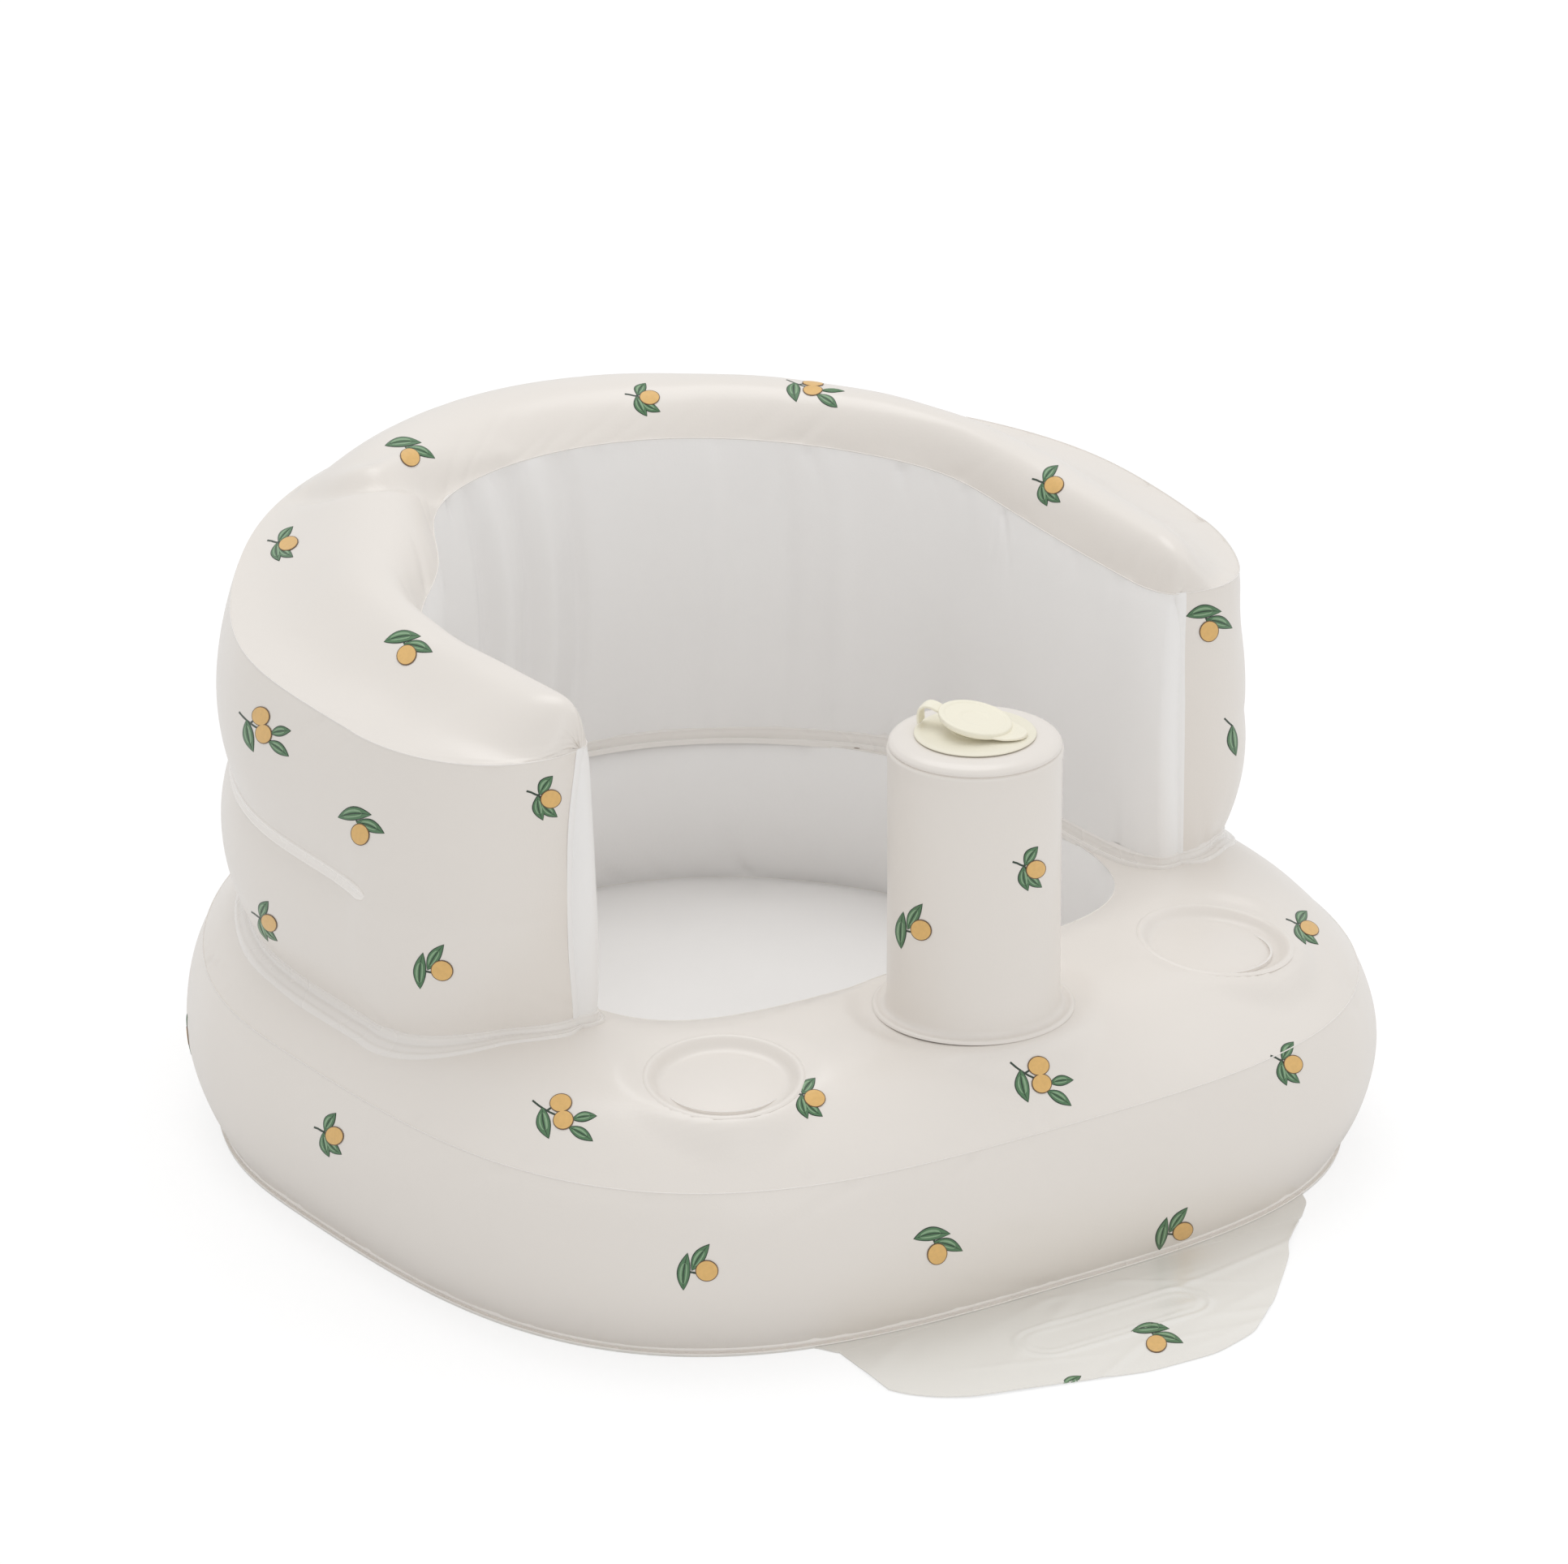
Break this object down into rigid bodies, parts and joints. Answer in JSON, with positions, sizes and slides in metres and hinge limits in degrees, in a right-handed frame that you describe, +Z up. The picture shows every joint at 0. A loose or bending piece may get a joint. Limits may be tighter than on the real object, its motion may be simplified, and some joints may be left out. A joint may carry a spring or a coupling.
{
  "type": "inflatable baby floor seat",
  "caption": "Air-filled floor seat for a baby: soft base ring round a crowned seat, curved backrest with arms, pump post between the legs and a film flap in front.",
  "frame": {"origin": "on the floor, under the middle of the base", "axes": "+Z up, -Y towards the front (the post and the flap), +X to the right seen from the front"},
  "size_m": [0.508, 0.5953, 0.2829],
  "materials": {
    "printed_film": "satin",
    "plain_film": "satin",
    "weld_film": "gloss",
    "valve": "satin",
    "foam": "matte"
  },
  "bodies": {
    "seat": {"base_bottom_sheet": "printed_film", "base_rim_weld": "weld_film", "base_side_band": "printed_film", "base_top_panel": "printed_film", "seat_well_wall": "plain_film", "seat_panel": "plain_film", "dimple_cup_left": "printed_film", "dimple_cup_right": "printed_film", "dimple_tie_left": "weld_film", "dimple_tie_right": "weld_film", "backrest_outer_panel": "printed_film", "backrest_inner_panel": "plain_film", "backrest_top_panel": "printed_film", "backrest_foot_weld": "weld_film", "backrest_crease_weld": "weld_film", "backrest_tie_band": "weld_film", "pump_tube": "printed_film", "pump_foam_core": "foam", "check_valve_seat": "valve", "air_release_valve": "valve"},
    "pump_head": {"pump_top": "printed_film", "pump_inlet_valve": "valve"},
    "pump_cap": {"pump_inlet_cap": "valve"},
    "check_flap": {"check_valve_flap": "valve"},
    "release_cap": {"air_release_cap": "valve"},
    "flap": {"front_flap": "printed_film"}
  },
  "joints": [
    {"name": "pump_press", "type": "slide", "parent": "seat", "child": "pump_head", "axis": [0, 0, -1], "range_m": [0, 0.045], "stiffness_N_per_m": 600, "deforming": ["pump_tube", "pump_foam_core"]},
    {"name": "pump_cap_open", "type": "hinge", "parent": "pump_head", "child": "pump_cap", "pos_m": [-0.01522, -0.16655, 0.2495], "axis": [-0.809, -0.5878, 0], "range_deg": [0, 110], "stiffness_Nm_per_rad": 0.002},
    {"name": "check_flap_open", "type": "hinge", "parent": "seat", "child": "check_flap", "pos_m": [0, -0.1801, 0.1087], "axis": [1, 0, 0], "range_deg": [0, 35], "stiffness_Nm_per_rad": 0.0005},
    {"name": "release_cap_open", "type": "hinge", "parent": "seat", "child": "release_cap", "pos_m": [0, 0.2399, 0.1621], "axis": [1, 0, 0], "range_deg": [0, 110], "stiffness_Nm_per_rad": 0.001},
    {"name": "flap_lift", "type": "hinge", "parent": "seat", "child": "flap", "pos_m": [0, -0.2553, 0.001], "axis": [-1, 0, 0], "range_deg": [0, 65]}
  ]
}
